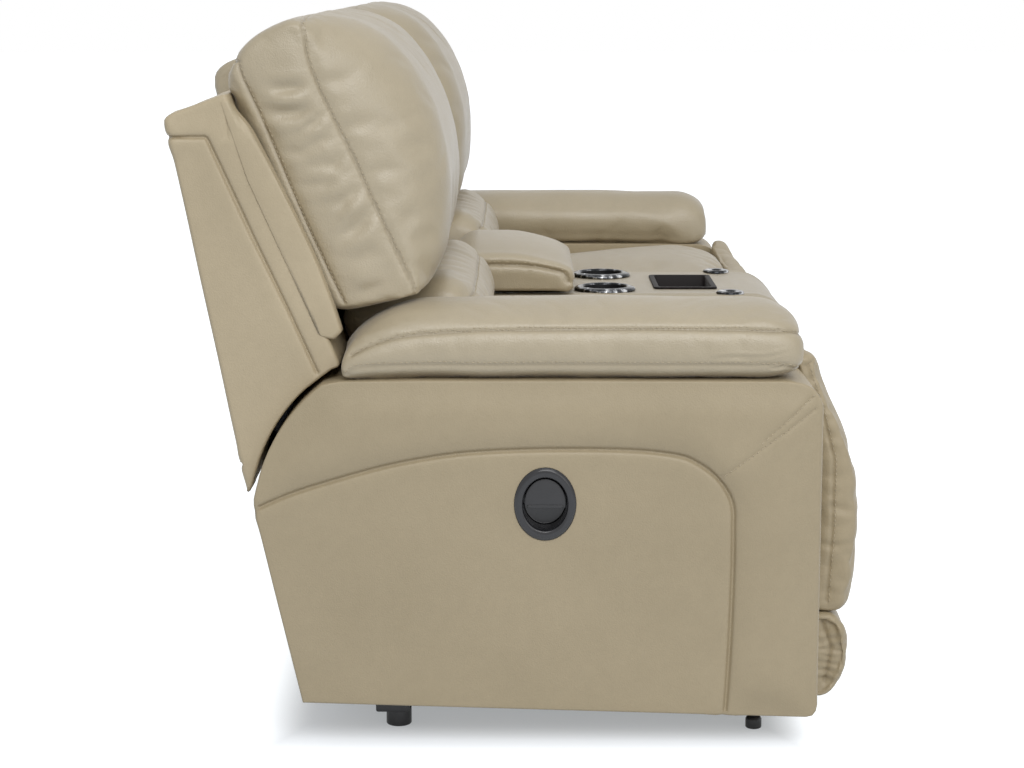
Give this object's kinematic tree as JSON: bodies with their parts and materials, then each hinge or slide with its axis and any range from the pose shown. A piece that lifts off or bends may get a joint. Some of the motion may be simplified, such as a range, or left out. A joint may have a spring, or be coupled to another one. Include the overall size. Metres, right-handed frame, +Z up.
{
  "type": "reclining loveseat",
  "caption": "Two-seat leather recliner with a centre console, cup holders and a lidded bin; each back reclines and each padded footrest folds out on a steel linkage.",
  "frame": {"origin": "on the floor, below the middle of the loveseat's width and depth", "axes": "+X along the loveseat, towards the left-hand seat of a person who sits on it; +Y towards its back; +Z up"},
  "size_m": [1.909, 1.0278, 1.0525],
  "materials": {
    "beige_leather": "satin",
    "panel_leather": "satin",
    "black_steel": "satin",
    "plywood": "matte",
    "black_plastic": "gloss",
    "chrome": "polished",
    "black_tray": "satin",
    "cable_sheath": "matte"
  },
  "bodies": {
    "sofa_frame": {"base_frame": "black_steel", "rear_panel": "panel_leather", "console_body": "beige_leather", "console_back": "beige_leather", "console_tray": "black_tray", "right_cup_holder": "chrome", "left_cup_holder": "chrome", "right_accessory_dock": "chrome", "left_accessory_dock": "chrome", "right_front_glide": "black_plastic", "right_rear_glide": "black_plastic", "right_arm_body": "panel_leather", "right_arm_pillow": "beige_leather", "right_latch_bezel": "black_plastic", "right_release_cable": "cable_sheath", "left_front_glide": "black_plastic", "left_rear_glide": "black_plastic", "left_arm_body": "panel_leather", "left_arm_pillow": "beige_leather", "left_latch_bezel": "black_plastic", "left_release_cable": "cable_sheath"},
    "console_lid": {"console_lid": "beige_leather"},
    "right_back": {"right_back_frame": "panel_leather", "right_back_pillow": "beige_leather", "right_lumbar_pillow": "beige_leather"},
    "right_seat": {"right_seat_frame": "plywood", "right_seat_cushion": "beige_leather", "right_outer_seat_plate": "black_steel", "right_inner_seat_plate": "black_steel"},
    "right_crank": {"right_torque_tube": "black_steel"},
    "right_long_links": {"right_outer_long_link": "black_steel", "right_inner_long_link": "black_steel"},
    "right_footrest": {"right_footrest_bracket": "black_steel", "right_footrest_board": "plywood", "right_footrest_upper_pad": "beige_leather", "right_footrest_lower_pad": "beige_leather"},
    "right_front_links": {"right_outer_front_link": "black_steel", "right_inner_front_link": "black_steel"},
    "right_control_links": {"right_outer_control_link": "black_steel", "right_inner_control_link": "black_steel"},
    "right_latch": {"right_latch_paddle": "black_plastic"},
    "left_back": {"left_back_frame": "panel_leather", "left_back_pillow": "beige_leather", "left_lumbar_pillow": "beige_leather"},
    "left_seat": {"left_seat_frame": "plywood", "left_seat_cushion": "beige_leather", "left_outer_seat_plate": "black_steel", "left_inner_seat_plate": "black_steel"},
    "left_crank": {"left_torque_tube": "black_steel"},
    "left_long_links": {"left_outer_long_link": "black_steel", "left_inner_long_link": "black_steel"},
    "left_footrest": {"left_footrest_bracket": "black_steel", "left_footrest_board": "plywood", "left_footrest_upper_pad": "beige_leather", "left_footrest_lower_pad": "beige_leather"},
    "left_front_links": {"left_outer_front_link": "black_steel", "left_inner_front_link": "black_steel"},
    "left_control_links": {"left_outer_control_link": "black_steel", "left_inner_control_link": "black_steel"},
    "left_latch": {"left_latch_paddle": "black_plastic"}
  },
  "joints": [
    {"name": "console_lid_hinge", "type": "hinge", "parent": "sofa_frame", "child": "console_lid", "pos_m": [0, 0.066, 0.605], "axis": [-1, 0, 0], "range_deg": [0, 90]},
    {"name": "right_back_recline", "type": "hinge", "parent": "sofa_frame", "child": "right_back", "pos_m": [-0.48, 0.3, 0.37], "axis": [-1, 0, 0], "range_deg": [0, 25]},
    {"name": "right_seat_slide", "type": "slide", "parent": "sofa_frame", "child": "right_seat", "axis": [0, -0.9962, 0.0872], "range_m": [0, 0.0605]},
    {"name": "right_footrest_crank", "type": "hinge", "parent": "right_seat", "child": "right_crank", "pos_m": [-0.48, -0.28, 0.29], "axis": [-1, 0, 0], "range_deg": [0, 79.43]},
    {"name": "right_long_link_pivot", "type": "hinge", "parent": "right_crank", "child": "right_long_links", "pos_m": [-0.48, -0.18, 0.125], "axis": [-1, 0, 0], "range_deg": [-78.7, 0]},
    {"name": "right_footrest_pivot", "type": "hinge", "parent": "right_long_links", "child": "right_footrest", "pos_m": [-0.48, -0.42, 0.38], "axis": [-1, 0, 0], "range_deg": [0, 89.3]},
    {"name": "right_front_link_pivot", "type": "hinge", "parent": "right_seat", "child": "right_front_links", "pos_m": [-0.48, -0.3732, 0.3835], "axis": [-1, 0, 0], "range_deg": [0, 81.95]},
    {"name": "right_control_link_pivot", "type": "hinge", "parent": "right_front_links", "child": "right_control_links", "pos_m": [-0.48, -0.2501, 0.1342], "axis": [-1, 0, 0], "range_deg": [-83.2, 0]},
    {"name": "right_latch_pull", "type": "hinge", "parent": "sofa_frame", "child": "right_latch", "pos_m": [-0.943, -0.043, 0.384], "axis": [0, 1, 0], "range_deg": [0, 30], "stiffness_Nm_per_rad": 0.06},
    {"name": "left_back_recline", "type": "hinge", "parent": "sofa_frame", "child": "left_back", "pos_m": [0.48, 0.3, 0.37], "axis": [-1, 0, 0], "range_deg": [0, 25]},
    {"name": "left_seat_slide", "type": "slide", "parent": "sofa_frame", "child": "left_seat", "axis": [0, -0.9962, 0.0872], "range_m": [0, 0.0605]},
    {"name": "left_footrest_crank", "type": "hinge", "parent": "left_seat", "child": "left_crank", "pos_m": [0.48, -0.28, 0.29], "axis": [-1, 0, 0], "range_deg": [0, 79.43]},
    {"name": "left_long_link_pivot", "type": "hinge", "parent": "left_crank", "child": "left_long_links", "pos_m": [0.48, -0.18, 0.125], "axis": [-1, 0, 0], "range_deg": [-78.7, 0]},
    {"name": "left_footrest_pivot", "type": "hinge", "parent": "left_long_links", "child": "left_footrest", "pos_m": [0.48, -0.42, 0.38], "axis": [-1, 0, 0], "range_deg": [0, 89.3]},
    {"name": "left_front_link_pivot", "type": "hinge", "parent": "left_seat", "child": "left_front_links", "pos_m": [0.48, -0.3732, 0.3835], "axis": [-1, 0, 0], "range_deg": [0, 81.95]},
    {"name": "left_control_link_pivot", "type": "hinge", "parent": "left_front_links", "child": "left_control_links", "pos_m": [0.48, -0.2501, 0.1342], "axis": [-1, 0, 0], "range_deg": [-83.2, 0]},
    {"name": "left_latch_pull", "type": "hinge", "parent": "sofa_frame", "child": "left_latch", "pos_m": [0.943, -0.043, 0.384], "axis": [0, -1, 0], "range_deg": [0, 30], "stiffness_Nm_per_rad": 0.06}
  ],
  "couplings": [
    {"joint": "right_seat_slide", "follows": "right_back_recline", "m_per_rad": 0.13751},
    {"joint": "right_long_link_pivot", "follows": "right_footrest_crank", "ratio": -0.98917},
    {"joint": "right_footrest_pivot", "follows": "right_footrest_crank", "ratio": 1.1223},
    {"joint": "right_front_link_pivot", "follows": "right_footrest_crank", "ratio": 1.0299},
    {"joint": "right_control_link_pivot", "follows": "right_footrest_crank", "ratio": -1.0459},
    {"joint": "left_seat_slide", "follows": "left_back_recline", "m_per_rad": 0.13751},
    {"joint": "left_long_link_pivot", "follows": "left_footrest_crank", "ratio": -0.98917},
    {"joint": "left_footrest_pivot", "follows": "left_footrest_crank", "ratio": 1.1223},
    {"joint": "left_front_link_pivot", "follows": "left_footrest_crank", "ratio": 1.0299},
    {"joint": "left_control_link_pivot", "follows": "left_footrest_crank", "ratio": -1.0459}
  ]
}
